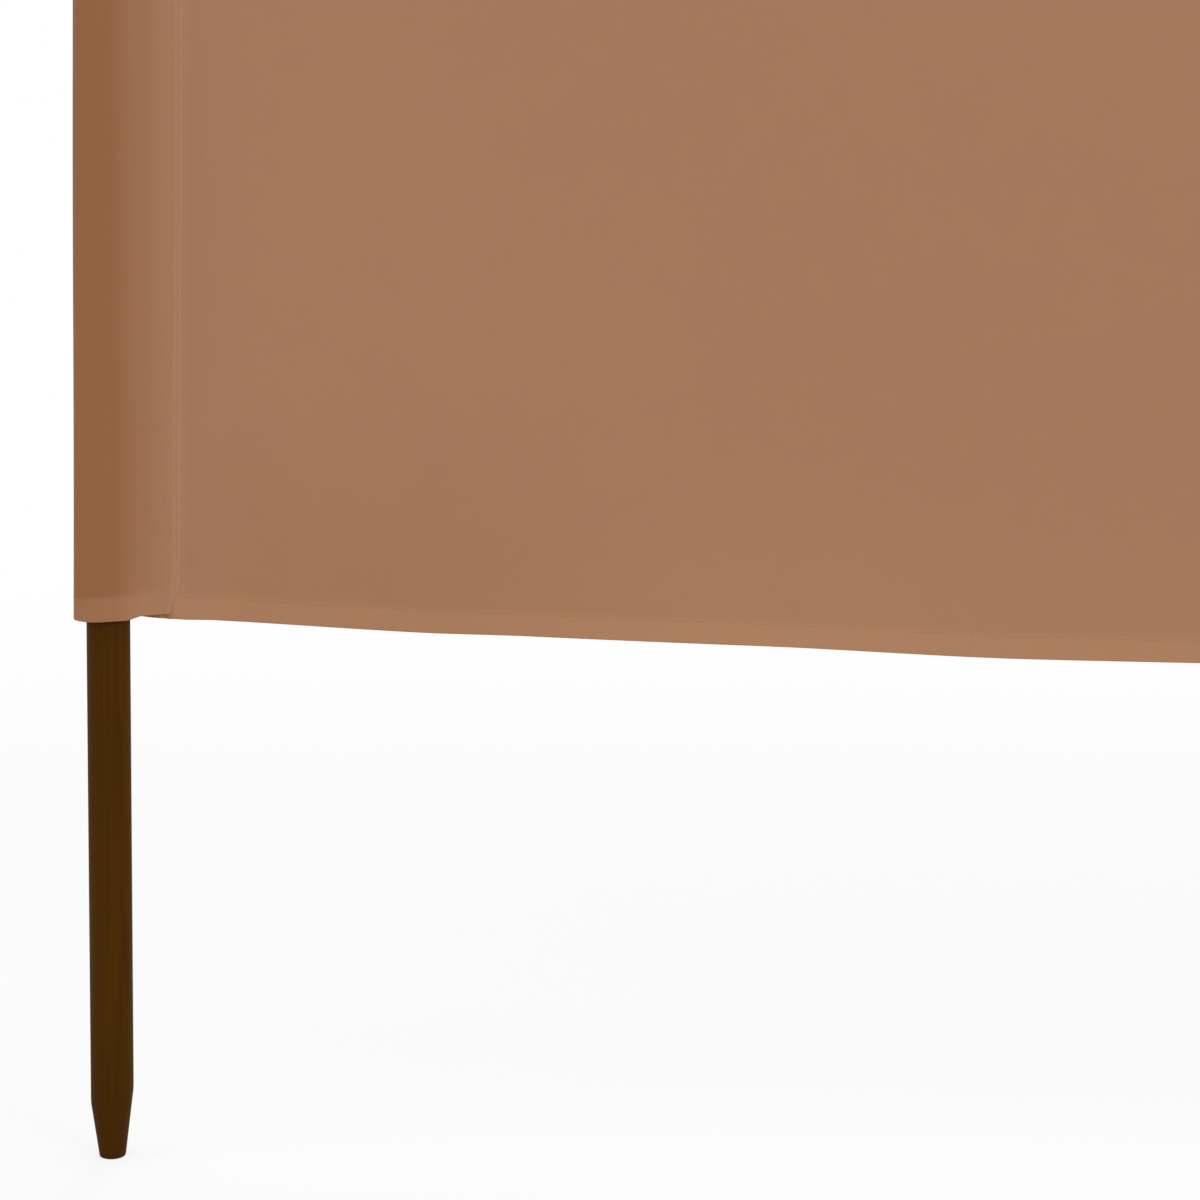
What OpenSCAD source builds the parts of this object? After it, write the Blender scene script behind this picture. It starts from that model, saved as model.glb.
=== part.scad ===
// Beach windbreak: cloth panels hung in bays on pointed wooden posts.
// The row runs along X, its front faces -Y and Z is up.
// The origin is the centre of the flat tip of the first post.

/* [Row] */
// Number of bays in the row
bays = 3; // [1:1:6]
// Distance between the tips of neighbouring posts
bay_l = 1316; // [900:1:1700]

/* [Posts] */
// Diameter of a post
post_d = 28; // [24:1:40]
// Bare post from its tip up to the cloth
leg_l = 360; // [250:1:500]
// Bare post above the cloth
stub_l = 40; // [20:1:100]
// Length of the turned taper at the foot
taper_l = 42; // [25:1:80]
// Diameter of the tip, over its rounded rim
tip_d = 17; // [12:1:22]
// Rounding of the tip's rim
tip_round = 1.5; // [1:0.5:4]
// Bevel round the top of a post
top_bevel = 2; // [0.5:0.5:4]

/* [Cloth] */
// Height of the cloth at a post
cloth_h = 800; // [600:1:1600]
// Thickness of one layer of cloth
cloth_t = 0.5; // [0.4:0.1:1.2]
// Drop of the cloth's edges in the middle of a bay
sag = 12; // [4:1:40]
// Height of a hem
hem_h = 16; // [8:1:30]
// Layers turned under in a hem
hem_layers = 2; // [1:1:3]

/* [Sleeves] */
// Slack of an end sleeve round its post
end_slack = 7; // [2:0.5:15]
// Run of a sleeve from its loop to the outer edge of its seam
web_l = 25; // [18:1:50]
// Width of a seam, where a sleeve laps over a panel
seam_w = 10; // [6:1:14]
// Room between the cloth and a post that it bears on
fit_gap = 0.3; // [0.1:0.1:0.6]

/* [Hidden] */
$fn = 96;
// Straight steps along each sagging edge
edge_steps = 32;
// Angle of each straight step round a loop of cloth
loop_step = 4;
posts = bays + 1;
post_r = post_d / 2;
post_l = leg_l + cloth_h + stub_l;
cloth_top = leg_l + cloth_h;
hem_t = hem_layers * cloth_t;

// Inner radius of the loop of a middle sleeve, snug on its post at the hems
mid_r = post_r + fit_gap + hem_t;
// Inner radius of the loop of an end sleeve
end_r = mid_r + end_slack;
// An end post stands in the middle of its sleeve at the bottom hem
// and bears on the outside of the sleeve at the top hem
lean = atan(end_slack / cloth_h);
end_shift = leg_l * tan(lean);

function is_end(i) = i == 0 || i == posts - 1;
// An end sleeve faces the row: 1 at the first post and -1 at the last
function facing(i) = i == 0 ? 1 : -1;
function sleeve_r(i) = is_end(i) ? end_r : mid_r;
function sleeve_x(i) = i * bay_l - (is_end(i) ? facing(i) * end_shift : 0);
// From a sleeve's axis to the outer edge of its seam
function reach(i) = sleeve_r(i) + web_l;
// A panel runs under the seams at both of its ends
function panel_from(i) = sleeve_x(i) + reach(i) - seam_w;
function panel_to(i) = sleeve_x(i + 1) - reach(i + 1) + seam_w;
function panel_span(i) = panel_to(i) - panel_from(i);
function panel_mid(i) = (panel_to(i) + panel_from(i)) / 2;
// Drop of the cloth at x: a shallow parabola from post to post
function drop(i, x) = sag * (1 - pow(2 * (x - panel_mid(i)) / panel_span(i), 2));

// A sleeve's straight sides close on the panel at web_x
function web_x(i) = reach(i) - seam_w;
// Angle round the loop where a straight side leaves it
function leave(i) = atan2(cloth_t / 2, web_x(i)) + acos(sleeve_r(i) / norm([web_x(i), cloth_t / 2]));
function arc(r, from_angle, to_angle) =
    let (steps = ceil(abs(to_angle - from_angle) / loop_step))
    [
        for (k = [0:steps])
            let (angle = from_angle + (to_angle - from_angle) * k / steps)
            [r * cos(angle), r * sin(angle)]
    ];
// Seam of sleeve i on the back, towards +X: the outside, the end and the inside of one layer
function seam_lap(i) = [
    [web_x(i) + cloth_t * cos(leave(i)) / (1 + sin(leave(i))), 1.5 * cloth_t],
    [reach(i), 1.5 * cloth_t],
    [reach(i), 0.5 * cloth_t],
    [web_x(i), 0.5 * cloth_t]
];
function flip_x(points) = [for (p = points) [-p[0], p[1]]];
function flip_y(points) = [for (p = points) [p[0], -p[1]]];
function backwards(points) = [for (k = [len(points) - 1:-1:0]) points[k]];

// Half outline of a post, from its axis outwards
module post_profile() {
    half_angle = atan((post_r - tip_d / 2) / taper_l);
    rim_x = tip_d / 2 - tip_round * (1 - sin(half_angle)) / cos(half_angle);
    polygon([
        [0, 0],
        [rim_x, 0],
        [rim_x + tip_round * cos(half_angle), tip_round * (1 - sin(half_angle))],
        [post_r, taper_l],
        [post_r, post_l - top_bevel],
        [post_r - top_bevel, post_l],
        [0, post_l]
    ]);
    translate([rim_x, tip_round]) circle(tip_round);
}

// Round wooden post with a turned, blunt point
module post(i) {
    tilt = is_end(i) ? -facing(i) * lean : 0;
    color("#472803")
        translate([i * bay_l, 0, 0])
            rotate([0, tilt, 0])
                rotate_extrude() post_profile();
}

// Upright band of cloth in bay i between two heights at the posts, with sagging edges
module hung_band(i, from_x, to_x, low, high) {
    xs = [for (k = [0:edge_steps]) from_x + (to_x - from_x) * k / edge_steps];
    polygon(concat(
        [for (k = [0:edge_steps]) [xs[k], low - drop(i, xs[k])]],
        [for (k = [edge_steps:-1:0]) [xs[k], high - drop(i, xs[k])]]
    ));
}

// Stands a flat outline up in the XZ plane, from front_y towards the back
module stand_up(front_y, thick) {
    translate([0, front_y + thick, 0]) rotate([90, 0, 0]) linear_extrude(thick) children();
}

// One bay of cloth, from seam to seam
module panel(i) {
    color("#a3785b")
        stand_up(-cloth_t / 2, cloth_t)
            hung_band(i, panel_from(i), panel_to(i), leg_l, cloth_top);
}

// Hem of one bay, turned under on the back of its panel between the seams
module hem(i, low) {
    color("#ac8061")
        stand_up(cloth_t / 2, hem_t)
            hung_band(i, panel_from(i) + seam_w, panel_to(i) - seam_w, low, low + hem_h);
}

module top_hem(i) { hem(i, cloth_top - hem_h); }

module bottom_hem(i) { hem(i, leg_l); }

// Layers turned under inside a loop of radius r, between two angles round it
module turned_under(r, from_angle, to_angle) {
    polygon(concat(
        arc(r, from_angle, to_angle),
        arc(r - hem_t, to_angle, from_angle)
    ));
}

// One band of cloth round an end post, with both of its ends sewn to the panel
module end_sleeve(i) {
    first = leave(i);
    last = 360 - leave(i);
    color("#a07455")
        translate([sleeve_x(i), 0, leg_l])
            linear_extrude(cloth_h)
                rotate(facing(i) > 0 ? 0 : 180)
                    polygon(concat(
                        arc(end_r + cloth_t, first, last),
                        flip_y(seam_lap(i)),
                        arc(end_r, last, first),
                        backwards(seam_lap(i))
                    ));
}

module end_hem(i, low) {
    color("#ac8061")
        translate([sleeve_x(i), 0, low])
            linear_extrude(hem_h)
                rotate(facing(i) > 0 ? 0 : 180) turned_under(end_r, leave(i), 360 - leave(i));
}

// One of the two bands of cloth round a middle post: side is -1 for the front and 1 for the back
module sleeve_band(i, side) {
    first = leave(i);
    last = 180 - leave(i);
    color("#a07455")
        translate([sleeve_x(i), 0, leg_l])
            linear_extrude(cloth_h)
                rotate(side > 0 ? 0 : 180)
                    polygon(concat(
                        arc(mid_r + cloth_t, first, last),
                        flip_x(seam_lap(i)),
                        arc(mid_r, last, first),
                        backwards(seam_lap(i))
                    ));
}

module band_hem(i, side, low) {
    color("#ac8061")
        translate([sleeve_x(i), 0, low])
            linear_extrude(hem_h)
                rotate(side > 0 ? 0 : 180) turned_under(mid_r, leave(i), 180 - leave(i));
}

for (i = [0:posts - 1]) {
    post(i);
}
for (i = [0:bays - 1]) {
    panel(i);
    top_hem(i);
    bottom_hem(i);
}
for (i = [1:1:posts - 2]) {
    sleeve_band(i, -1);
    sleeve_band(i, 1);
    band_hem(i, -1, cloth_top - hem_h);
    band_hem(i, -1, leg_l);
    band_hem(i, 1, cloth_top - hem_h);
    band_hem(i, 1, leg_l);
}
end_sleeve(0);  // end_sleeve_left
end_sleeve(posts - 1);  // end_sleeve_right
end_hem(0, cloth_top - hem_h);  // end_top_hem_left
end_hem(posts - 1, cloth_top - hem_h);  // end_top_hem_right
end_hem(0, leg_l);  // end_bottom_hem_left
end_hem(posts - 1, leg_l);  // end_bottom_hem_right
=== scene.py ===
"""Beach windbreak: cloth in bays, sleeved onto pointed wooden posts.

Everything is in metres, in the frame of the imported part: X runs along the row, the front faces -Y, Z is up.
"""
import math

import bpy
import numpy as np
from mathutils import Matrix, Vector


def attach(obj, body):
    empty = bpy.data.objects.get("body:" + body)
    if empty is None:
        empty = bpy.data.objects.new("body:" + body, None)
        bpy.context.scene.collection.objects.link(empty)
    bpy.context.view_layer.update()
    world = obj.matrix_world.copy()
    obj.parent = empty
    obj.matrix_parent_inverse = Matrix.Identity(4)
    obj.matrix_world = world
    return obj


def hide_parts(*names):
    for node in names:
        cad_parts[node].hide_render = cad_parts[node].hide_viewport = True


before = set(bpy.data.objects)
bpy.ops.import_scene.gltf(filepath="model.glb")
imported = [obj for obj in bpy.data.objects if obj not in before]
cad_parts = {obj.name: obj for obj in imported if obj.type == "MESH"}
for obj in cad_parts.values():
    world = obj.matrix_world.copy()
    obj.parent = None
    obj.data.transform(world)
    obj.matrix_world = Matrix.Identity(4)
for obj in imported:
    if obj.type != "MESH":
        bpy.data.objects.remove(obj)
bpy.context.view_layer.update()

# Sizes of the part, the same as in its source
BAYS = 3
BAY_L = 1.316
POST_R = 0.014
LEG_L = 0.360
STUB_L = 0.040
TAPER_L = 0.042
TIP_R = 0.0085
TIP_ROUND = 0.0015
CLOTH_H = 0.800
SAG = 0.012
HEM_H = 0.016
HEM_T = 0.001
FIT_GAP = 0.0003
END_SLACK = 0.007
WEB_L = 0.025
SEAM_W = 0.010
POSTS = BAYS + 1
POST_L = LEG_L + CLOTH_H + STUB_L
MID_R = POST_R + FIT_GAP + HEM_T
END_R = MID_R + END_SLACK
LEAN = math.atan(END_SLACK / CLOTH_H)
END_SHIFT = LEG_L * math.tan(LEAN)

# Posts: sides and rows of the mesh, the rounding of the top, and how uneven the turned surface is
POST_SIDES = 64
SHAFT_ROWS = 34
TAPER_ROWS = (0.2, 0.4, 0.6, 0.8, 0.97)
TOP_ROUND = 0.0022
UNEVEN = 0.0001
# The foot of the taper is square, and its upper end is cut this far askew, to another side on each post
TAPER_SLANT = 0.0045
SLANT_TURN = 2.1
# Worn rim at the top, and stain soaked into the foot
WORN_H = 0.004
WORN_SHARE = 0.5
SOAKED_H = 0.14
SOAKED_SHARE = 0.25
# Growth rings: how far their centre lies off the first post's axis, and how many go to a metre
PITH_X = 0.013
PITH_Y = 0.007
RINGS_PER_M = 420.0
# Each post is cut from another place in the wood: the step from post to post, the turn of the first post
# and the turn from post to post
GRAIN_STEP = (0.03, 0.05, 0.7)
GRAIN_FROM = 0.9
GRAIN_TURN = 1.9

# Cloth as it is drawn here: one thin layer of threads, turned under at its hems
CLOTH_T = 0.0004
THREAD_PITCH = 0.0009
# From the face of a hem to the layer turned under, and the cloth turned in once more inside the hem
FOLD_GAP = 0.0009
HEM_TURN = 0.010
FLAT_H = CLOTH_H + 2 * (HEM_H + HEM_TURN)
# Stitches along a hem, above the cloth's edge
SEWN_AT = 0.0142
# Softness of the edge of doubled cloth, and the height over which the puckers above a hem die out
PLY_SOFT = 0.002
PUCKER_H = 0.03
# Heights of the mesh's rows above an edge: on the face, on the layer turned under, and even ones between
FACE_AT = (0.0015, 0.003, 0.006, 0.010, 0.0135, SEWN_AT, 0.0152, HEM_H, 0.0168, 0.018, 0.021, 0.026, 0.033)
LEAF_AT = (HEM_H, SEWN_AT, 0.010, 0.006, 0.003)
EVEN_FROM = 0.044
EVEN_ROWS = 62
FOLD_STEPS = 7

# Stitches: one every pitch, bowed, with ends that are thinner and sink into the cloth
STITCH_PITCH = 0.0035
STITCH_L = 0.0026
STITCH_R = 0.00017
STITCH_SIDES = 5
STITCH_DEPTHS = (-0.7 * STITCH_R, 0.75 * STITCH_R, -0.7 * STITCH_R)
STITCH_RADII = (0.7 * STITCH_R, STITCH_R, 0.7 * STITCH_R)

# Panels: columns of the mesh, and the depth of the waves in each bay
PANEL_COLUMNS = 176
BELLY = (0.0110, 0.0165, 0.0140)
# Waves of a panel: share of the depth, waves in a bay, slant, shift from bay to bay, and start
WAVES = ((0.55, 1.4, 0.0, 0.31, 0.1), (0.30, 2.6, 0.25, 0.17, 0.0), (0.15, 4.3, -0.40, 0.43, 0.0))
# Depth of the waves at half height, as a share of their depth at the edges
MIDDLE_FREE = 0.55
# Ripples of the edges: their size, then the share, the ripples in a bay and the shift from bay to bay
EDGE_RIPPLE = 0.0016
RIPPLES = ((1.0, 2.2, 0.37), (0.6, 3.7, -0.21))
# The stretch of the first bay that the photograph shows is calm
CALM_BELLY = 0.0010
CALM_TO = 0.74
LIVELY_FROM = 1.05
# A panel lies flat under its seams, and this far from them it is free to bulge
SETTLE_W = 0.05
# Size of the folds at each panel's corners, left and right, at the foot and at the head
CORNER_FOLDS = (
    ((0.0004, 0.0040), (0.0028, 0.0052)),
    ((0.0030, 0.0048), (0.0024, 0.0056)),
    ((0.0026, 0.0054), (0.0030, 0.0046)),
)
# How far the folds reach from a corner, where they start, and how many would fill a whole turn
FOLD_REACH = 0.24
FOLD_FROM = 0.06
FOLD_RAYS = 9
# Lower edge of the first bay in the photograph: how far it is raised, with soft steps along x, how far it
# dips, where along x both begin and end, and the height over which they die out
EDGE_RAISED = 0.0012
EDGE_STEPS = ((0.0008, 0.046, 0.066), (-0.0009, 0.08, 0.20), (0.0010, 0.20, 0.27))
RAISED_TO = (0.9, 1.2)
EDGE_DIP = 0.003
DIP_FROM = (0.42, 0.60)
DIP_TO = (0.85, 1.15)
SHOWN_EDGE_H = 0.35
# Paler doubled cloth of a hem, and on a panel near its foot a paler stretch of painted light and a darker
# stretch of
# painted shade: how far from its sides they begin and end, and how high they reach
HEM_PLY = 0.7
PAINTED_LIGHT = 0.25
PAINTED_LIGHT_FROM = (0.12, 0.38)
PAINTED_LIGHT_H = (0.0, 0.14)
PAINTED_SHADE = 0.13
PAINTED_SHADE_FROM = (SEAM_W, 0.06)
PAINTED_SHADE_TO = (0.16, 0.34)
PAINTED_SHADE_H = (0.02, 0.18)

# Sleeves: steps round the loop and along the straight side, and columns across the seam
ARC_STEPS = 30
WEB_STEPS = 14
FLANGE_AT = np.array([0.0015, 0.003, 0.005, 0.007, 0.0085, 0.0095, 0.010])
SEAM_ROWS_AT = (0.003, 0.007)
FLANGE_FIRST = ARC_STEPS + WEB_STEPS
# Seam: its distance from the middle of the panel, that of its rim, where the rim starts and how thin it is
FLANGE_Y = 0.00046
RIM_Y = 0.00030
RIM_FROM = 0.0075
RIM_THIN = 0.3
# Across a seam, from its start: where it settles, where it puckers, where it is doubled, begun early with
# painted light where the side turns into the seam, and how much less its rim is, as a painted shadow line
# along its edge
SETTLE_OVER = (0.001, 0.0085)
SEWN_OVER = (-0.004, 0.001)
DOUBLED_AND_LIT_OVER = (-0.010, 0.007)
RIM_SHADOW_LINE = 0.6
# Where they are sewn together, layers lie at this share of their distance
PRESSED = 0.5
# Bulk of the hems under a seam on the front and on the back, and how far the seam settles over it
FRONT_BULK = 0.00040
BACK_BULK = 0.00084
FRONT_SETTLE = 1.0
BACK_SETTLE = 0.35
# From the inside of a sleeve's solid to the middle of the cloth drawn for it
END_ROOM = 0.00025
MID_ROOM = 0.0002
# An end sleeve is narrower towards its foot and flatter towards its head, wanders a little where it is
# loose, and bows
FOOT_NARROW = 0.0007
FOOT_NARROW_H = 0.35
HEAD_FLAT = 0.10
HEAD_FLAT_H = (0.1, 0.75)
WANDER = 0.0004
WANDER_L = 0.31
LOOSE_W = 0.03
BOW = 0.0003
# How far the foot of an end sleeve is raised, with soft steps along x, on the front and on the back, the
# height over which that dies out, and the corner of its seam that is drawn in
FRONT_LIFT = ((0.0011, -0.010, 0.012), (0.0024, 0.0145, 0.0245), (0.0008, 0.028, 0.042))
BACK_LIFT = ((0.0012, -0.010, 0.030), (-0.0004, 0.034, 0.046))
LIFT_H = 0.11
DRAWN_IN = 0.0065
DRAWN_IN_H = 0.026
# Painted shade on a sleeve's cloth in front of its dark post: how it fades away from the post, outwards and
# towards the panel
SHADE_OUT = ((0.10, 0.0, 0.017),)
SHADE_IN = ((0.63, 0.006, 0.024), (0.37, 0.024, 0.046))
MID_SHADE = 0.8
MID_SHADE_TO = (0.004, 0.026)
# Painted shade on the layer turned under inside a sleeve, which lies in the sleeve's shadow
LEAF_SHADE = 0.35
HEM_UNSHADE = 0.36
# Doubled cloth in the hem of a sleeve, and how far that hem is lower at its outside
SLEEVE_PLY = 0.45
HEM_LOWER = 0.0022
HEM_LOWER_TO = (-0.022, -0.004)

# Colours, linear
CLOTH_COLOUR = (0.367, 0.187, 0.104, 1)
# Tint of the painted shade
SHADE_TINT = (0.757, 0.650, 0.505, 1)
PLY_AND_LIGHT_TINT = (1.12, 1.13, 1.14, 1)
SHEEN_TINT = (0.95, 0.80, 0.66, 1)
THREAD_COLOUR = (0.385, 0.198, 0.112, 1)
WOOD_DARK = (0.050, 0.0168, 0.0003, 1)
WOOD_LIGHT = (0.071, 0.0255, 0.0008, 1)
WOOD_WORN = (0.105, 0.046, 0.010, 1)

# Camera, fitted to the photograph
IMAGE_PX = 1200
FOCAL_PX = 2512
CAMERA_AT = (0.3185, -1.621, 0.559)
CAMERA_PITCH = math.radians(6.317)
CAMERA_YAW = math.radians(0.08)
CAMERA_ROLL = math.radians(1.28)

# Floor: half its side, its tone, and how white the camera sees it, from near the row to far off
FLOOR_HALF = 30.0
FLOOR_TONE = 0.86
FLOOR_NEAR = 1.2
FLOOR_FAR = 4.0
FLOOR_WHITE = 0.76
# Light: the world's strength, then the name, place, target, size or angle, and power of each lamp
AMBIENT = 0.622
LAMPS = (
    ("ceiling", (2.0, 0.0, 4.6), (2.0, 0.0, 0.0), (9.0, 7.0), 120.0),
    ("key", (8.2, -6.6, 3.8), (1.6, 0.0, 0.6), math.radians(22), 0.84),
    ("fill", (-8.0, -3.0, 3.0), (0.8, 0.0, 0.6), (3.5, 3.0), 135.0),
    ("back", (1.0, 9.0, 4.0), (2.0, 0.0, 0.6), (3.5, 3.0), 170.0),
)


# Soft steps, and places along the row
def smooth(low, high, x):
    """0 up to low and 1 from high on, with a soft step between."""
    t = np.clip((np.asarray(x, float) - low) / (high - low), 0, 1)
    return t * t * (3 - 2 * t)


def fade(low, high, x):
    """1 up to low and 0 from high on, with a soft step between."""
    return 1 - smooth(low, high, x)


def soft_steps(steps, x):
    """Sum of soft steps, each given by its size, where it begins and where it ends."""
    return sum(size * smooth(low, high, x) for size, low, high in steps)


def is_end(i):
    return i in (0, POSTS - 1)


def facing(i):
    """An end sleeve faces the row: 1 at the first post and -1 at the last."""
    return 1 if i == 0 else -1


def sleeve_r(i):
    return END_R if is_end(i) else MID_R


def sleeve_x(i):
    return i * BAY_L - (facing(i) * END_SHIFT if is_end(i) else 0)


def reach(i):
    """From a sleeve's axis to the outer edge of its seam."""
    return sleeve_r(i) + WEB_L


def seam_x(i):
    """From a sleeve's axis to the start of its seam."""
    return reach(i) - SEAM_W


def panel_from(i):
    return sleeve_x(i) + reach(i) - SEAM_W


def panel_to(i):
    return sleeve_x(i + 1) - reach(i + 1) + SEAM_W


def from_side(i, x):
    """Distance from the nearer side of panel i."""
    return np.minimum(x - panel_from(i), panel_to(i) - x)


def along_bay(i, x):
    """0 at the left side of panel i and 1 at its right side."""
    return (x - panel_from(i)) / (panel_to(i) - panel_from(i))


def lively(i, x):
    """0 in the calm stretch of the first bay and 1 where a panel has its full waves."""
    return smooth(CALM_TO, LIVELY_FROM, x) if i == 0 else 1.0


# Camera
def make_camera():
    """A camera at the photograph's place, turned by its yaw, pitch and roll."""
    right = Vector((math.cos(CAMERA_YAW), math.sin(CAMERA_YAW), 0))
    ahead = Vector((
        -math.sin(CAMERA_YAW) * math.cos(CAMERA_PITCH),
        math.cos(CAMERA_YAW) * math.cos(CAMERA_PITCH),
        -math.sin(CAMERA_PITCH),
    ))
    up = right.cross(ahead)
    rolled_right = math.cos(CAMERA_ROLL) * right + math.sin(CAMERA_ROLL) * up
    rolled_up = math.cos(CAMERA_ROLL) * up - math.sin(CAMERA_ROLL) * right
    data = bpy.data.cameras.new("camera")
    data.sensor_fit = "HORIZONTAL"
    data.angle = 2 * math.atan(IMAGE_PX / 2 / FOCAL_PX)
    data.clip_end = 100
    camera = bpy.data.objects.new("camera", data)
    turn = Matrix((rolled_right, rolled_up, -ahead)).transposed()
    camera.matrix_world = Matrix.Translation(CAMERA_AT) @ turn.to_4x4()
    bpy.context.scene.collection.objects.link(camera)
    bpy.context.scene.camera = camera


# Shader helpers
def map_range(tree, value, source, target, kind="LINEAR"):
    """Takes a value from the source range to the target range."""
    node = tree.nodes.new("ShaderNodeMapRange")
    node.interpolation_type = kind
    tree.links.new(value, node.inputs["Value"])
    for name, number in zip(("From Min", "From Max", "To Min", "To Max"), (*source, *target)):
        node.inputs[name].default_value = number
    return node.outputs["Result"]


def seen_rays(tree):
    """1 for what the camera sees, straight or in gloss or glass, and 0 for rays that only carry light."""
    path = tree.nodes.new("ShaderNodeLightPath")
    seen = path.outputs["Is Camera Ray"]
    for name in ("Is Glossy Ray", "Is Transmission Ray"):
        larger = tree.nodes.new("ShaderNodeMath")
        larger.operation = "MAXIMUM"
        tree.links.new(seen, larger.inputs[0])
        tree.links.new(path.outputs[name], larger.inputs[1])
        seen = larger.outputs[0]
    return seen


class Nodes:
    """Builds one material's nodes with short calls."""

    def __init__(self, name):
        self.material = bpy.data.materials.new(name)
        self.material.use_nodes = True
        self.tree = self.material.node_tree
        self.shader = self.tree.nodes["Principled BSDF"]

    def add(self, kind, **settings):
        node = self.tree.nodes.new(kind)
        for key, value in settings.items():
            setattr(node, key, value)
        return node

    def link(self, source, target):
        self.tree.links.new(source, target)

    def put(self, socket, value):
        if isinstance(value, bpy.types.NodeSocket):
            self.link(value, socket)
        else:
            socket.default_value = value

    def set(self, name, value):
        """Sets or links an input of the shader."""
        self.put(self.shader.inputs[name], value)

    def math(self, operation, a, b=0.0, c=0.0):
        node = self.add("ShaderNodeMath", operation=operation)
        for socket, value in zip(node.inputs, (a, b, c)):
            self.put(socket, value)
        return node.outputs[0]

    def times(self, a, b):
        return self.math("MULTIPLY", a, b)

    def vector(self, name):
        return self.add("ShaderNodeAttribute", attribute_name=name).outputs["Vector"]

    def number(self, name):
        return self.add("ShaderNodeAttribute", attribute_name=name).outputs["Fac"]

    def split(self, vector):
        node = self.add("ShaderNodeSeparateXYZ")
        self.link(vector, node.inputs[0])
        return node.outputs[0], node.outputs[1]

    def noise(self, vector, scale=1.0, detail=3.0, rough=0.55):
        node = self.add("ShaderNodeTexNoise")
        self.link(vector, node.inputs["Vector"])
        node.inputs["Scale"].default_value = scale
        node.inputs["Detail"].default_value = detail
        node.inputs["Roughness"].default_value = rough
        return node.outputs["Fac"]

    def stretch(self, vector, scale):
        node = self.add("ShaderNodeMapping")
        self.link(vector, node.inputs["Vector"])
        node.inputs["Scale"].default_value = scale
        return node.outputs["Vector"]

    def spread(self, value, low, high):
        """A noise value, mostly from 0.3 to 0.7, as a factor from low to high."""
        return map_range(self.tree, value, (0.3, 0.7), (low, high))

    def mix(self, kind, factor, a, b):
        """Mixes two colours, which are inputs 6 and 7 and output 2 of the node."""
        node = self.add("ShaderNodeMix", data_type="RGBA", blend_type=kind)
        for number, value in ((0, factor), (6, a), (7, b)):
            self.put(node.inputs[number], value)
        return node.outputs[2]

    def tone(self, colour, value):
        """A colour made lighter or darker by a factor."""
        node = self.add("ShaderNodeHueSaturation")
        self.put(node.inputs["Color"], colour)
        self.link(value, node.inputs["Value"])
        return node.outputs["Color"]

    def bump(self, height, distance, strength, normal=None):
        node = self.add("ShaderNodeBump")
        node.inputs["Strength"].default_value = strength
        node.inputs["Distance"].default_value = distance
        self.link(height, node.inputs["Height"])
        if normal is not None:
            self.link(normal, node.inputs["Normal"])
        return node.outputs["Normal"]


# Materials
def cloth_material():
    """Woven cloth with slubs and creases, with painted shade in front of a post, and paler where it is
    doubled and where light is painted.
    """
    n = Nodes("woven_cloth")
    weave = n.vector("cloth_uv")
    across, along = n.split(weave)
    turn = 2 * math.pi / THREAD_PITCH
    threads = n.times(n.math("SINE", n.times(across, turn)), n.math("SINE", n.times(along, turn)))
    weft = n.noise(n.stretch(weave, (30, 1400, 1)), detail=2.0)
    warp = n.noise(n.stretch(weave, (1400, 30, 1)), detail=2.0)
    slubs = n.math("ADD", weft, warp)
    broad = n.noise(weave, scale=3.5, detail=4.0)
    patchy = n.noise(weave, scale=26.0)

    # Painted shade darkens the cloth where the shade mark is set
    colour = n.mix("MULTIPLY", n.number("shade"), CLOTH_COLOUR, SHADE_TINT)
    # Paler where the cloth is doubled, and paler again where light is painted on it; a seam's rim gets less,
    # as a painted shadow line
    colour = n.mix("MULTIPLY", n.number("ply_and_light"), colour, PLY_AND_LIGHT_TINT)
    value = n.times(n.spread(broad, 0.985, 1.015), n.spread(patchy, 0.992, 1.008))
    value = n.times(value, n.spread(n.times(slubs, 0.5), 0.975, 1.025))
    value = n.times(value, n.math("MULTIPLY_ADD", threads, 0.02, 1.0))
    n.set("Base Color", n.tone(colour, value))

    creases = n.noise(n.stretch(weave, (60, 14, 1)))
    gathers = n.noise(n.stretch(weave, (110, 25, 1)), detail=1.0)
    pucker = n.times(n.number("pucker"), gathers)
    normal = n.bump(threads, distance=0.00006, strength=0.25)
    normal = n.bump(slubs, distance=0.00010, strength=0.15, normal=normal)
    normal = n.bump(creases, distance=0.0005, strength=0.12, normal=normal)
    normal = n.bump(pucker, distance=0.0012, strength=0.22, normal=normal)
    n.set("Normal", normal)
    n.set("Roughness", n.spread(slubs, 0.80, 0.92))
    n.set("Specular IOR Level", 0.05)
    n.set("Sheen Weight", 0.02)
    n.set("Sheen Roughness", 0.45)
    n.set("Sheen Tint", SHEEN_TINT)
    return n.material


def thread_material():
    """Twisted sewing thread, a little paler than the cloth."""
    n = Nodes("sewing_thread")
    place = n.add("ShaderNodeTexCoord").outputs["Object"]
    twist = n.noise(place, scale=2600.0, detail=1.0)
    run = n.noise(place, scale=60.0, detail=2.0)
    value = n.times(n.spread(twist, 0.85, 1.12), n.spread(run, 0.95, 1.05))
    n.set("Base Color", n.tone(THREAD_COLOUR, value))
    n.set("Normal", n.bump(twist, distance=0.00008, strength=0.5))
    n.set("Roughness", n.spread(run, 0.55, 0.7))
    n.set("Specular IOR Level", 0.2)
    return n.material


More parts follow.
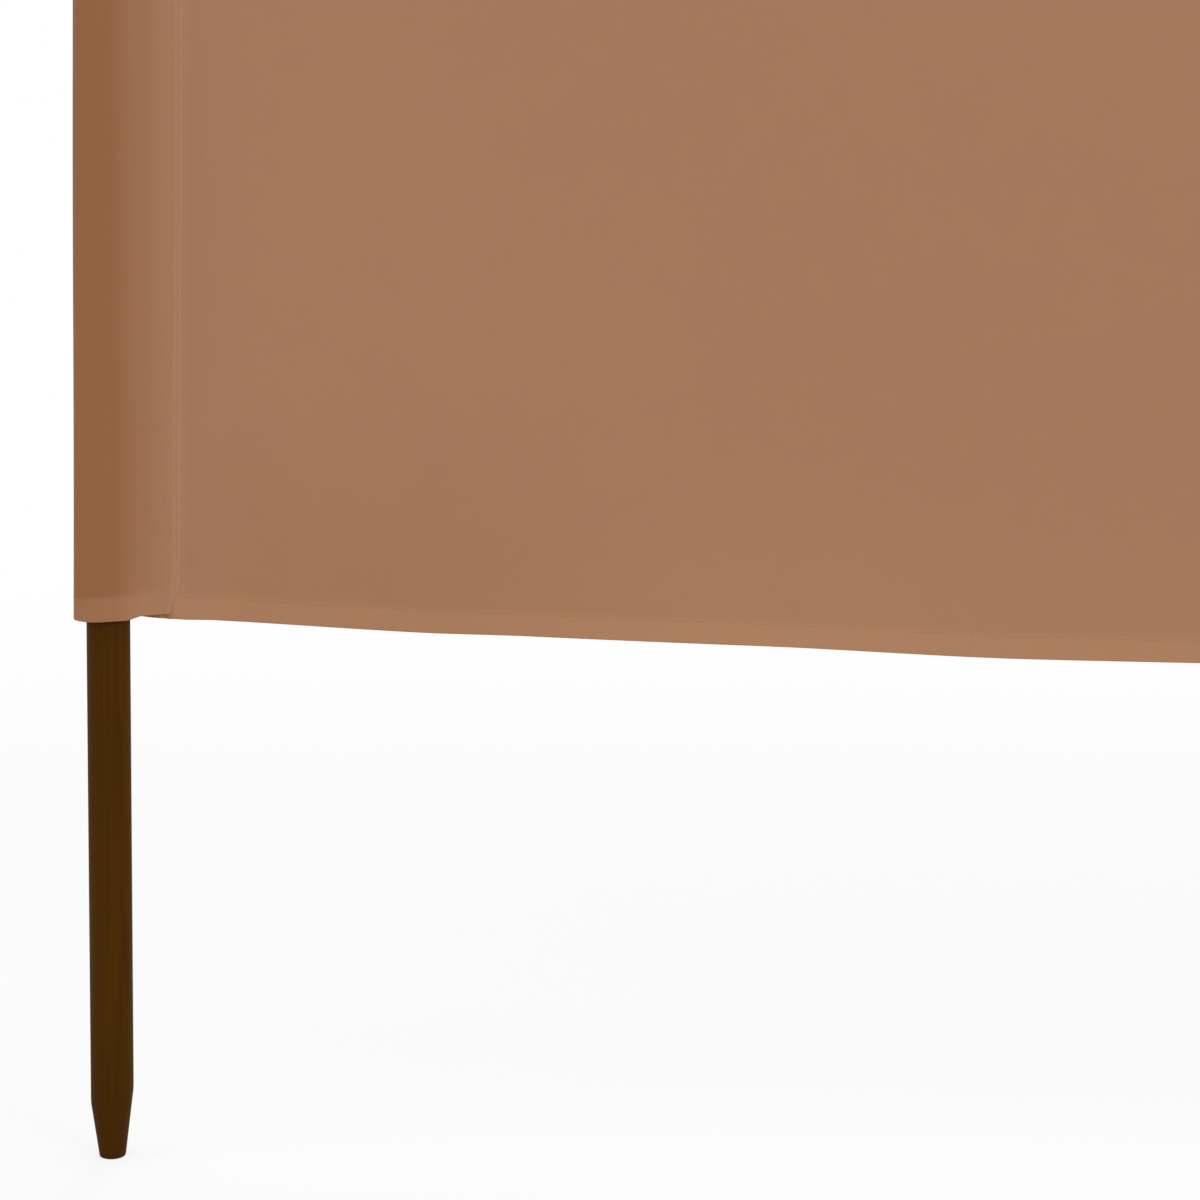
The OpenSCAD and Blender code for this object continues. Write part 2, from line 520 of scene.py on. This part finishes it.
def wood_material():
    """Stained pale wood: growth rings round a pith off the axis, fibres, pores and a blotchy stain."""
    n = Nodes("stained_wood")
    grain = n.vector("grain")
    x, y = n.split(grain)
    off_x = n.math("ADD", x, PITH_X)
    off_y = n.math("ADD", y, PITH_Y)
    radius = n.math("SQRT", n.math("ADD", n.times(off_x, off_x), n.times(off_y, off_y)))
    wander = n.noise(n.stretch(grain, (55, 55, 3)), detail=2.0)
    turns = n.math("ADD", n.times(radius, RINGS_PER_M), n.times(wander, 2.6))
    rings = n.math("POWER", n.math("FRACT", turns), 2.2)
    fibres = n.noise(n.stretch(grain, (1500, 1500, 11)), detail=4.0, rough=0.65)
    pores = n.noise(n.stretch(grain, (3600, 3600, 90)), detail=2.0)
    stain = n.noise(n.stretch(grain, (70, 70, 6)))

    pale = n.math("ADD", n.times(stain, 0.55), n.times(fibres, 0.45))
    pale = n.math("SUBTRACT", pale, n.times(rings, 0.16))
    pale = n.math("SUBTRACT", pale, n.times(n.spread(pores, 0.0, 1.0), 0.05))
    pale = n.math("SUBTRACT", pale, n.times(n.number("soaked"), SOAKED_SHARE))
    colour = n.mix("MIX", n.spread(n.math("ADD", pale, 0.07), 0.0, 1.0), WOOD_DARK, WOOD_LIGHT)
    rubbed = n.spread(n.noise(grain, scale=420.0), 0.0, 1.0)
    n.set("Base Color", n.mix("MIX", n.times(n.number("wear"), rubbed), colour, WOOD_WORN))

    normal = n.bump(pores, distance=0.00008, strength=0.25)
    normal = n.bump(fibres, distance=0.0001, strength=0.18, normal=normal)
    normal = n.bump(stain, distance=0.0004, strength=0.15, normal=normal)
    n.set("Normal", normal)
    n.set("Roughness", n.spread(fibres, 0.50, 0.66))
    n.set("Specular IOR Level", 0.03)
    return n.material


# Mesh helpers
def new_object(name, points, faces, material, flat_from=None):
    """A mesh object. Faces from number flat_from on, such as the rims of a cloth, are shaded flat."""
    mesh = bpy.data.meshes.new(name)
    mesh.from_pydata([tuple(p) for p in points], [], [tuple(int(v) for v in f) for f in faces])
    mesh.materials.append(material)
    smooth_faces = np.ones(len(faces), bool)
    if flat_from is not None:
        smooth_faces[flat_from:] = False
    mesh.polygons.foreach_set("use_smooth", smooth_faces)
    mesh.update()
    obj = bpy.data.objects.new(name, mesh)
    bpy.context.scene.collection.objects.link(obj)
    return obj


def add_numbers(obj, name, values):
    layer = obj.data.attributes.new(name, "FLOAT", "POINT")
    layer.data.foreach_set("value", np.asarray(values, np.float32).ravel())


def add_vectors(obj, name, values):
    layer = obj.data.attributes.new(name, "FLOAT_VECTOR", "POINT")
    layer.data.foreach_set("vector", np.asarray(values, np.float32).ravel())


def unit(v):
    return v / np.maximum(np.linalg.norm(v, axis=-1, keepdims=True), 1e-12)


def lengths(path):
    """Length along a path up to each of its points."""
    steps = np.linalg.norm(np.diff(path, axis=0), axis=1)
    return np.concatenate([[0], np.cumsum(steps)])


def grid_normals(points, outwards):
    """Unit normals of a grid of points, on the side that outwards gives at the grid's middle."""
    normals = unit(np.cross(np.gradient(points, axis=0), np.gradient(points, axis=1)))
    middle = (points.shape[0] // 2, points.shape[1] // 2)
    if normals[middle] @ np.asarray(outwards) < 0:
        normals = -normals
    return normals


def cloth_object(name, points, normals, uv, numbers, material, thickness=1.0):
    """A closed sheet of cloth of thickness CLOTH_T, times thickness, on both sides of a grid of points."""
    wide, high = points.shape[:2]
    count = wide * high
    half = normals * np.asarray(thickness)[..., None] * CLOTH_T / 2
    outer = (points + half).reshape(-1, 3)
    inner = (points - half).reshape(-1, 3)
    index = np.arange(count).reshape(wide, high)
    corners = (index[:-1, :-1], index[1:, :-1], index[1:, 1:], index[:-1, 1:])
    front = np.stack([corner.ravel() for corner in corners], 1)
    first, second, _, last = front[len(front) // 2]
    facing_out = np.cross(outer[second] - outer[first], outer[last] - outer[first])
    if facing_out @ normals.reshape(-1, 3)[first] < 0:
        front = front[:, ::-1]
    back = front[:, ::-1] + count
    rim = np.concatenate([index[:, 0], index[-1, 1:], index[-2::-1, -1], index[0, -2:0:-1]])
    after = np.roll(rim, -1)
    edge = np.stack([rim, after, after + count, rim + count], 1)
    side = np.cross(outer[after[0]] - outer[rim[0]], inner[rim[0]] - outer[rim[0]])
    into = outer[index[1, 1]] - outer[rim[0]]
    if side @ into > 0:
        edge = edge[:, ::-1]
    faces = np.concatenate([front, back, edge])
    obj = new_object(name, np.concatenate([outer, inner]), faces, material, 2 * len(front))
    flat_uv = np.concatenate([uv.reshape(-1, 2)] * 2)
    add_vectors(obj, "cloth_uv", np.concatenate([flat_uv, np.zeros((len(flat_uv), 1))], 1))
    for key, values in numbers.items():
        add_numbers(obj, key, np.concatenate([values.ravel()] * 2))
    return obj


def dress(cloth, stitches, nodes):
    """Attaches a piece of cloth and its stitches to the root, and hides the parts of the model that they are
    drawn in place of.
    """
    for piece in (cloth, stitches):
        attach(piece, "root")
    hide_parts(*nodes)


# Rows of the cloth's mesh, from the free edge of one hem round both folds to that of the other
def hem_rows():
    """Heights above the lower edge, insets from the face and lengths along the cloth, row by row."""
    r = FOLD_GAP / 2
    fold = np.linspace(0, math.pi, FOLD_STEPS)[1:-1]
    low = np.array((r,) + FACE_AT)
    even = np.linspace(EVEN_FROM, CLOTH_H - EVEN_FROM, EVEN_ROWS)
    face = np.concatenate([low, even, CLOTH_H - low[::-1]])
    leaf = np.array(LEAF_AT + (r,))
    hem_h = np.concatenate([leaf, r - r * np.sin(fold)])
    hem_in = np.concatenate([np.full(len(leaf), FOLD_GAP), r + r * np.cos(fold)])
    heights = np.concatenate([hem_h, face, CLOTH_H - hem_h[::-1]])
    insets = np.concatenate([hem_in, np.zeros(len(face)), hem_in[::-1]])
    return heights, insets, lengths(np.stack([heights, insets], 1))


ROW_H, ROW_IN, ROW_V = hem_rows()
FROM_EDGE = np.minimum(ROW_H, CLOTH_H - ROW_H)
# The layer turned under, from the fold on
ROW_LEAF = smooth(0.5 * FOLD_GAP, FOLD_GAP, ROW_IN)
# Puckers over a hem, and the bulk that it gives a seam
HEM_PUCKER = fade(HEM_H, HEM_H + PUCKER_H, FROM_EDGE)
HEM_BULK = fade(HEM_H + PLY_SOFT, 2 * HEM_H, FROM_EDGE)
# Rows of the face, and the rows that a hem is sewn along, on the face and on the layer turned under
FACE_ROWS = np.flatnonzero(ROW_IN == 0)
SEWN_LOW = int(FACE_ROWS[np.argmin(abs(ROW_H[FACE_ROWS] - SEWN_AT))])
SEWN_HIGH = int(FACE_ROWS[np.argmin(abs(ROW_H[FACE_ROWS] - (CLOTH_H - SEWN_AT)))])
SEWN_LEAF_LOW = 1
SEWN_LEAF_HIGH = len(ROW_H) - 2


def hem_mark(hem_h):
    """1 on the doubled cloth of a hem of height hem_h, with a soft upper edge."""
    return fade(hem_h - PLY_SOFT, hem_h + PLY_SOFT, FROM_EDGE)


# Stitches
def stitch_run(points, normals, margin=0.0):
    """Stitches along a line of points of the cloth: the start, crown and end of each, and its normal."""
    path = points + normals * CLOTH_T / 2
    along = lengths(path)
    first = np.arange(margin + STITCH_PITCH / 2, along[-1] - margin - STITCH_L, STITCH_PITCH)

    def at(values, s):
        return np.stack([np.interp(s, along, values[:, k]) for k in range(3)], 1)

    normal = unit(at(normals, first + STITCH_L / 2))
    ends = [at(path, first + part * STITCH_L) for part in (0, 0.5, 1)]
    return ends, normal


def stitch_object(name, runs, material):
    """All the stitches of a piece as one mesh of short bowed threads, each of three rings."""
    points = []
    faces = []
    base = 0
    ring = np.arange(STITCH_SIDES)
    angle = 2 * math.pi * ring[:, None] / STITCH_SIDES
    for ends, normal in runs:
        side = np.cross(normal, unit(ends[2] - ends[0]))
        spin = np.cos(angle) * side[:, None, :] + np.sin(angle) * normal[:, None, :]
        for depth, radius, centre in zip(STITCH_DEPTHS, STITCH_RADII, ends):
            points.append((centre + normal * depth)[:, None, :] + radius * spin)
        each = base + np.arange(len(normal))[:, None] * STITCH_SIDES
        up = len(normal) * STITCH_SIDES
        for k in range(2):
            low = each + k * up + ring
            low_next = each + k * up + np.roll(ring, -1)
            faces += np.stack([low, low_next, low_next + up, low + up], -1).reshape(-1, 4).tolist()
        faces += (each + ring[::-1]).tolist()
        faces += (each + 2 * up + ring).tolist()
        base += 3 * up
    return new_object(name, np.concatenate([p.reshape(-1, 3) for p in points]), faces, material)


# Posts
def post_profile():
    """Radius and height of a post from the middle of its tip to the middle of its top."""
    half = math.atan((POST_R - TIP_R) / TAPER_L)
    rim = TIP_R - TIP_ROUND * (1 - math.sin(half)) / math.cos(half)
    tip_turns = np.linspace(-math.pi / 2, -half, 6)
    top_turns = np.linspace(0, math.pi / 2, 5)
    top_r = POST_R - TOP_ROUND
    top_z = POST_L - TOP_ROUND
    foot = [(0.003, 0.0), (rim * 0.7, 0.0)]
    tip = [(rim + TIP_ROUND * math.cos(a), TIP_ROUND * (1 + math.sin(a))) for a in tip_turns]
    taper = [(TIP_R + (POST_R - TIP_R) * t, TAPER_L * t) for t in TAPER_ROWS]
    shaft = [(POST_R, z) for z in np.linspace(TAPER_L + 0.0025, POST_L - 0.006, SHAFT_ROWS)]
    top = [(top_r + TOP_ROUND * math.cos(a), top_z + TOP_ROUND * math.sin(a)) for a in top_turns]
    flat = [(0.008, POST_L), (0.004, POST_L)]
    return np.array(foot + tip + taper + shaft + top + flat)


def make_post(i, material):
    """A turned post with a blunt point, leaning outwards at the ends of the row."""
    profile = post_profile()
    r = profile[:, 0][:, None]
    z = profile[:, 1][:, None]
    angle = 2 * math.pi * np.arange(POST_SIDES) / POST_SIDES
    uneven = np.sin(3 * angle + 5 * z + i) + 0.6 * np.sin(7 * angle - 11 * z + 2 * i)
    round_r = r + UNEVEN * uneven * smooth(0.0, 0.01, r)
    askew = np.minimum(z / TAPER_L, 1) * fade(1.1 * TAPER_L, 1.8 * TAPER_L, z)
    cut = z + TAPER_SLANT * np.cos(angle - SLANT_TURN * i) * askew
    rings = np.stack([round_r * np.cos(angle), round_r * np.sin(angle), cut], -1)
    local = np.concatenate([rings.reshape(-1, 3), [[0, 0, 0]], [[0, 0, POST_L]]])

    index = np.arange(len(profile) * POST_SIDES).reshape(len(profile), POST_SIDES)
    turned = np.roll(index, -1, axis=1)
    low = index.size
    high = index.size + 1
    faces = np.stack([index[:-1], turned[:-1], turned[1:], index[1:]], -1).reshape(-1, 4).tolist()
    faces += [(low, b, a) for a, b in zip(index[0], turned[0])]
    faces += [(high, a, b) for a, b in zip(index[-1], turned[-1])]

    tilt = -facing(i) * LEAN if is_end(i) else 0.0
    turn = np.array(Matrix.Rotation(tilt, 3, "Y"))
    points = local @ turn.T + np.array([i * BAY_L, 0, 0])
    obj = new_object(f"wooden_post_{i + 1}", points, faces, material)
    spin = np.array(Matrix.Rotation(GRAIN_FROM + GRAIN_TURN * i, 3, "Z"))
    add_vectors(obj, "grain", local @ spin.T + i * np.array(GRAIN_STEP))
    add_numbers(obj, "wear", WORN_SHARE * smooth(POST_L - WORN_H, POST_L, local[:, 2]))
    add_numbers(obj, "soaked", fade(0.0, SOAKED_H, local[:, 2]))
    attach(obj, "root")
    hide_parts(f"post_{i + 1}")
    return obj


# Panels
def drag_lines(x, h, corner_x, corner_h, size):
    """Soft folds that spread from a corner where the cloth is pulled."""
    dx = abs(x - corner_x)
    dh = h - corner_h
    far = np.hypot(dx, dh)
    turn = np.arctan2(dh, np.maximum(dx, 1e-6))
    depth = np.exp(-far / FOLD_REACH) * (1 - np.exp(-((far / FOLD_FROM) ** 2)))
    return size * depth * smooth(0.0, 0.05, dx) * np.sin(FOLD_RAYS * turn + 0.7)


def panel_bulge(i, x, h):
    """How far the cloth of bay i stands out of its plane."""
    t = along_bay(i, x)
    waves = sum(
        share * np.sin(2 * math.pi * (count * t + slant * h / CLOTH_H + shift * i + start))
        for share, count, slant, shift, start in WAVES
    )
    hold = np.sin(math.pi * t) ** 0.8
    free = MIDDLE_FREE + (1 - MIDDLE_FREE) * (2 * h / CLOTH_H - 1) ** 2
    belly = CALM_BELLY + (BELLY[i] - CALM_BELLY) * lively(i, x)
    bulge = belly * hold * free * waves
    seams = (panel_from(i) + SEAM_W, panel_to(i) - SEAM_W)
    for corner_x, sizes in zip(seams, CORNER_FOLDS[i]):
        for corner_h, size in zip((0.0, CLOTH_H), sizes):
            bulge = bulge + drag_lines(x, h, corner_x, corner_h, size)
    return bulge * smooth(SEAM_W, SEAM_W + SETTLE_W, from_side(i, x))


def shown_edge(x):
    """Extra drop of the first bay's lower edge, as the photograph shows it."""
    dip = EDGE_DIP * smooth(*DIP_FROM, x) * fade(*DIP_TO, x)
    raised = (EDGE_RAISED + soft_steps(EDGE_STEPS, x)) * fade(*RAISED_TO, x)
    return dip - raised


def panel_drop(i, x, h):
    """How far the cloth of bay i hangs below its height at the posts."""
    t = along_bay(i, x)
    foot = lively(i, x) * fade(0.0, 0.5 * CLOTH_H, h)
    head = smooth(0.5 * CLOTH_H, CLOTH_H, h)
    uneven = sum(share * np.sin(2 * math.pi * (count * t + shift * i)) for share, count, shift in RIPPLES)
    drop = SAG * (1 - (2 * t - 1) ** 2) + EDGE_RIPPLE * uneven * (foot - head) * np.sin(math.pi * t)
    if i == 0:
        drop = drop + shown_edge(x) * fade(0.0, SHOWN_EDGE_H, h)
    return drop


def panel_numbers(i, x, h):
    """Marks for the cloth of a panel: where it is doubled, where light or shade is painted on it, and where
    it puckers.
    """
    side = from_side(i, x)
    seam = fade(SEAM_W - PLY_SOFT, SEAM_W, side)
    # Painted light: the panel is paler on a stretch near its foot, away from its sides
    painted_light = PAINTED_LIGHT * smooth(*PAINTED_LIGHT_FROM, side) * fade(*PAINTED_LIGHT_H, h)
    # Painted shade: the panel is darker near its sides at its foot
    painted_shade = PAINTED_SHADE * fade(*PAINTED_SHADE_TO, side) * fade(*PAINTED_SHADE_H, h)
    return {
        "ply_and_light": np.maximum(HEM_PLY * hem_mark(HEM_H), seam) + painted_light,
        "shade": painted_shade * smooth(*PAINTED_SHADE_FROM, side),
        "pucker": np.broadcast_to(HEM_PUCKER, x.shape),
    }


def make_panel(i, material, thread):
    """Cloth and stitches of one bay, and the cloth's flat size."""
    width = panel_to(i) - panel_from(i)
    x, h = np.meshgrid(np.linspace(panel_from(i), panel_to(i), PANEL_COLUMNS), ROW_H, indexing="ij")
    press = PRESSED + (1 - PRESSED) * smooth(SEAM_W, 3 * SEAM_W, from_side(i, x))
    y = panel_bulge(i, x, h) + press * ROW_IN
    points = np.stack([x, y, LEG_L - panel_drop(i, x, h) + h], -1)
    normals = grid_normals(points, (0, -1, 0))
    uv = np.stack([x, np.broadcast_to(ROW_V, x.shape)], -1)
    cloth = cloth_object(f"cloth_panel_{i + 1}", points, normals, uv, panel_numbers(i, x, h), material)
    rows = (SEWN_LOW, SEWN_HIGH, SEWN_LEAF_LOW, SEWN_LEAF_HIGH)
    runs = [stitch_run(points[:, row], normals[:, row], SEAM_W) for row in rows]
    stitches = stitch_object(f"panel_stitches_{i + 1}", runs, thread)
    dress(cloth, stitches, [f"panel_{i + 1}", f"top_hem_{i + 1}", f"bottom_hem_{i + 1}"])
    return cloth, stitches, (width, FLAT_H)


# Sleeves
def half_path(r, from_angle, web_x, side_y, settle, squeeze):
    """Half of a sleeve's section, from from_angle round its loop to the end of its seam, at every row."""
    leave = np.arccos(r / web_x)
    turn = np.linspace(from_angle, leave, ARC_STEPS)
    arc = np.stack([r * np.cos(turn), r * np.sin(turn) * squeeze], -1)

    # The straight side: a smooth curve that leaves along the loop and arrives along the panel
    start = arc[-1]
    end = np.stack([np.full(len(side_y), web_x), side_y], -1)
    size = np.linalg.norm(end - start, axis=1)[:, None]
    run_out = size * np.stack([np.sin(leave), -np.cos(leave) * squeeze], -1)
    run_in = size * np.array([1.0, 0.0])
    t = np.linspace(0, 1, WEB_STEPS + 1)[1:, None, None]
    web = (2 * t**3 - 3 * t**2 + 1) * start + (t**3 - 2 * t**2 + t) * run_out
    web = web + (3 * t**2 - 2 * t**3) * end + (t**3 - t**2) * run_in

    # The seam settles on the panel, and its rim comes closer still
    ease = smooth(*SETTLE_OVER, FLANGE_AT)[:, None]
    rim = smooth(RIM_FROM, SEAM_W, FLANGE_AT)[:, None]
    flange_y = side_y + settle * ease * (FLANGE_Y - side_y) + rim * (RIM_Y - FLANGE_Y)
    flange_x = np.broadcast_to(web_x + FLANGE_AT[:, None], flange_y.shape)
    return np.concatenate([arc, web, np.stack([flange_x, flange_y], -1)])


def post_shade(i, x, h):
    """Painted shade on the cloth of sleeve i, strongest in front of its dark post."""
    if not is_end(i):
        return MID_SHADE * fade(*MID_SHADE_TO, abs(x))
    from_post = x + h * math.tan(LEAN)
    outer = 1.0 - soft_steps(SHADE_OUT, -from_post)
    inner = 1.0 - soft_steps(SHADE_IN, from_post)
    return np.where(from_post < 0, outer, inner)


def sleeve_numbers(i, x, h):
    """Marks for the cloth of a sleeve: painted shade in front of its post, where it is doubled, with painted
    light and a painted shadow line at its seam, and where it puckers.
    """
    lower = HEM_LOWER if is_end(i) else 0.0
    hem = hem_mark(HEM_H - lower * fade(*HEM_LOWER_TO, x))
    from_seam = abs(x) - seam_x(i)
    sewn = smooth(*SEWN_OVER, from_seam)
    # Paler where the seam doubles the cloth, begun early as painted light where the side turns into the seam,
    # and less at its rim as a painted shadow line
    doubled = smooth(*DOUBLED_AND_LIT_OVER, from_seam) * (1 - RIM_SHADOW_LINE * smooth(RIM_FROM, SEAM_W, from_seam))
    shade = post_shade(i, x, h) * (1 - HEM_UNSHADE * hem)
    return {
        # The layer turned under inside gets painted shade of its own
        "shade": shade + (LEAF_SHADE - shade) * ROW_LEAF,
        "ply_and_light": np.maximum(SLEEVE_PLY * hem, doubled),
        "pucker": np.maximum(HEM_PUCKER, sewn),
    }


def sleeve_pieces(name, i, section, lift, nodes, halves, outwards, material, thread):
    """Cloth and stitches of one sleeve, and the cloth's flat size.

    section is the line of the cloth at every row, in x and y about the sleeve's axis, and lift raises it.
    halves gives, for each half path in it, its first column and the step along it. outwards points out of
    the middle of the line.
    """
    along_seam = np.zeros((len(section), 1))
    for start, step in halves:
        for k, at in enumerate(FLANGE_AT):
            along_seam[start + step * (FLANGE_FIRST + k)] = at
    thin = 1 - (1 - RIM_THIN) * smooth(RIM_FROM, SEAM_W, along_seam)

    tangent = unit(np.gradient(section, axis=0))
    inwards = np.stack([-tangent[..., 1], tangent[..., 0]], -1)
    if inwards[len(section) // 2, 0] @ np.asarray(outwards) > 0:
        inwards = -inwards
    press = 1 - (1 - PRESSED) * smooth(seam_x(i) - SEAM_W, seam_x(i), abs(section[..., 0]))
    flat = section + inwards * (press * thin * ROW_IN)[..., None]
    side = facing(i) if is_end(i) else 1
    height = np.broadcast_to(LEG_L + ROW_H + lift, flat.shape[:2])
    points = np.stack([sleeve_x(i) + side * flat[..., 0], flat[..., 1], height], -1)
    normals = grid_normals(points, (side * outwards[0], outwards[1], 0.0))

    along = lengths(section[:, len(ROW_H) // 2])
    uv = np.stack(np.meshgrid(along, ROW_V, indexing="ij"), -1)
    numbers = sleeve_numbers(i, section[..., 0], ROW_H)
    thickness = np.broadcast_to(thin, flat.shape[:2])
    cloth = cloth_object(f"cloth_sleeve_{name}", points, normals, uv, numbers, material, thickness)

    runs = [stitch_run(points[:, row], normals[:, row], SEAM_W) for row in (SEWN_LOW, SEWN_HIGH)]
    rows = FACE_ROWS[2:-2]
    for start, step in halves:
        for at in SEAM_ROWS_AT:
            column = start + step * (FLANGE_FIRST + int(np.argmin(abs(FLANGE_AT - at))))
            runs.append(stitch_run(points[column, rows], normals[column, rows]))
    stitches = stitch_object(f"sleeve_stitches_{name}", runs, thread)
    dress(cloth, stitches, nodes)
    return cloth, stitches, (along[-1], FLAT_H)


def make_end_sleeve(i, material, thread):
    """One band of cloth round an end post, with both of its ends sewn to the panel."""
    name = "left" if i == 0 else "right"
    r = END_R + END_ROOM - FOOT_NARROW * fade(0.0, FOOT_NARROW_H, ROW_H)
    squeeze = 1.0 - HEAD_FLAT * smooth(*HEAD_FLAT_H, ROW_H)
    front_y = FLANGE_Y + FRONT_BULK * HEM_BULK
    back_y = FLANGE_Y + BACK_BULK * HEM_BULK
    front = half_path(r, math.pi, seam_x(i), front_y, FRONT_SETTLE, squeeze)
    back = half_path(r, math.pi, seam_x(i), back_y, BACK_SETTLE, squeeze)
    front[..., 1] *= -1
    section = np.concatenate([front[::-1], back[1:]])

    x = section[..., 0].copy()
    loose = np.clip((seam_x(i) - x) / LOOSE_W, 0, 1)
    wander = WANDER * np.sin(2 * math.pi * (ROW_H / WANDER_L) + 3.0 * section[..., 1] / END_R)
    section[..., 1] += loose * wander
    lift = np.where(section[..., 1] < 0, soft_steps(FRONT_LIFT, x), soft_steps(BACK_LIFT, x))
    lift = lift * fade(HEM_H, LIFT_H, ROW_H)
    drawn_in = DRAWN_IN * np.clip((x - seam_x(i)) / SEAM_W, 0, 1) * fade(0.0, DRAWN_IN_H, ROW_H)
    section[..., 0] += BOW * np.sin(math.pi * ROW_H / CLOTH_H) - drawn_in

    halves = ((len(front) - 1, 1), (len(front) - 1, -1))
    nodes = [f"end_sleeve_{name}", f"end_top_hem_{name}", f"end_bottom_hem_{name}"]
    return sleeve_pieces(name, i, section, lift, nodes, halves, (-1, 0), material, thread)


def make_band(i, side, material, thread):
    """One of the two bands of cloth round a middle post: side is -1 for the front and 1 for the back."""
    kind = "front" if side < 0 else "back"
    bulk = FRONT_BULK if side < 0 else BACK_BULK
    settle = FRONT_SETTLE if side < 0 else BACK_SETTLE
    side_y = FLANGE_Y + bulk * HEM_BULK
    even = np.ones(len(ROW_H))
    half = half_path((MID_R + MID_ROOM) * even, math.pi / 2, seam_x(i), side_y, settle, even)
    mirrored = half[::-1] * (-1, 1)
    section = np.concatenate([mirrored, half[1:]]) * (1, side)
    halves = ((len(half) - 1, 1), (len(half) - 1, -1))
    nodes = [f"sleeve_{kind}_{i + 1}", f"{kind}_top_hem_{i + 1}", f"{kind}_bottom_hem_{i + 1}"]
    return sleeve_pieces(f"{kind}_{i + 1}", i, section, 0.0, nodes, halves, (0, side), material, thread)


# Stage and light
def make_floor():
    """A pale floor that takes the shadow and that the camera sees nearly white."""
    n = Nodes("pale_floor")
    place = n.add("ShaderNodeTexCoord").outputs["Object"]
    tone = n.times(n.spread(n.noise(place, scale=0.8, detail=2.0), 0.985, 1.0), FLOOR_TONE)
    grey = n.add("ShaderNodeCombineColor")
    for socket in grey.inputs[:3]:
        n.link(tone, socket)
    diffuse = n.add("ShaderNodeBsdfDiffuse")
    n.link(grey.outputs[0], diffuse.inputs["Color"])
    white = n.add("ShaderNodeEmission")
    white.inputs["Strength"].default_value = 1.0

    away = n.add("ShaderNodeVectorMath", operation="LENGTH")
    n.link(n.stretch(place, (0.5, 1.0, 1.0)), away.inputs[0])
    far = map_range(n.tree, away.outputs["Value"], (FLOOR_NEAR, FLOOR_FAR), (FLOOR_WHITE, 1.0), "SMOOTHSTEP")
    mixed = n.add("ShaderNodeMixShader")
    n.link(n.times(seen_rays(n.tree), far), mixed.inputs[0])
    n.link(diffuse.outputs[0], mixed.inputs[1])
    n.link(white.outputs[0], mixed.inputs[2])
    n.link(mixed.outputs[0], n.tree.nodes["Material Output"].inputs["Surface"])
    n.tree.nodes.remove(n.shader)

    corners = ((-1, -1), (1, -1), (1, 1), (-1, 1))
    points = [(x * FLOOR_HALF, y * FLOOR_HALF, 0) for x, y in corners]
    floor = new_object("floor", points, [(0, 1, 2, 3)], n.material)
    floor.location.x = BAYS * BAY_L / 2


def make_world():
    """An even white world, seen at full strength and lighting the part at AMBIENT."""
    world = bpy.data.worlds.new("studio")
    bpy.context.scene.world = world
    world.use_nodes = True
    tree = world.node_tree
    background = tree.nodes["Background"]
    background.inputs["Color"].default_value = (1, 1, 1, 1)
    level = map_range(tree, seen_rays(tree), (0.0, 1.0), (AMBIENT, 1.0))
    tree.links.new(level, background.inputs["Strength"])


def make_lamp(name, place, target, size, power):
    """A soft box of the given size, in metres, or a soft light from far off, where size is its angle."""
    is_box = isinstance(size, tuple)
    data = bpy.data.lights.new(name, "AREA" if is_box else "SUN")
    if is_box:
        data.shape = "RECTANGLE"
        data.size, data.size_y = size
    else:
        data.angle = size
    data.energy = power
    lamp = bpy.data.objects.new(name, data)
    lamp.location = place
    lamp.rotation_euler = (Vector(target) - Vector(place)).to_track_quat("-Z", "Y").to_euler()
    bpy.context.scene.collection.objects.link(lamp)


make_camera()
cloth = cloth_material()
thread = thread_material()
wood = wood_material()
posts = [make_post(i, wood).name for i in range(POSTS)]
for i in range(BAYS):
    make_panel(i, cloth, thread)
for i in (0, POSTS - 1):
    make_end_sleeve(i, cloth, thread)
for i in range(1, POSTS - 1):
    for side in (-1, 1):
        make_band(i, side, cloth, thread)

make_floor()
make_world()
for lamp in LAMPS:
    make_lamp(*lamp)

bpy.context.scene.view_settings.view_transform = "Standard"
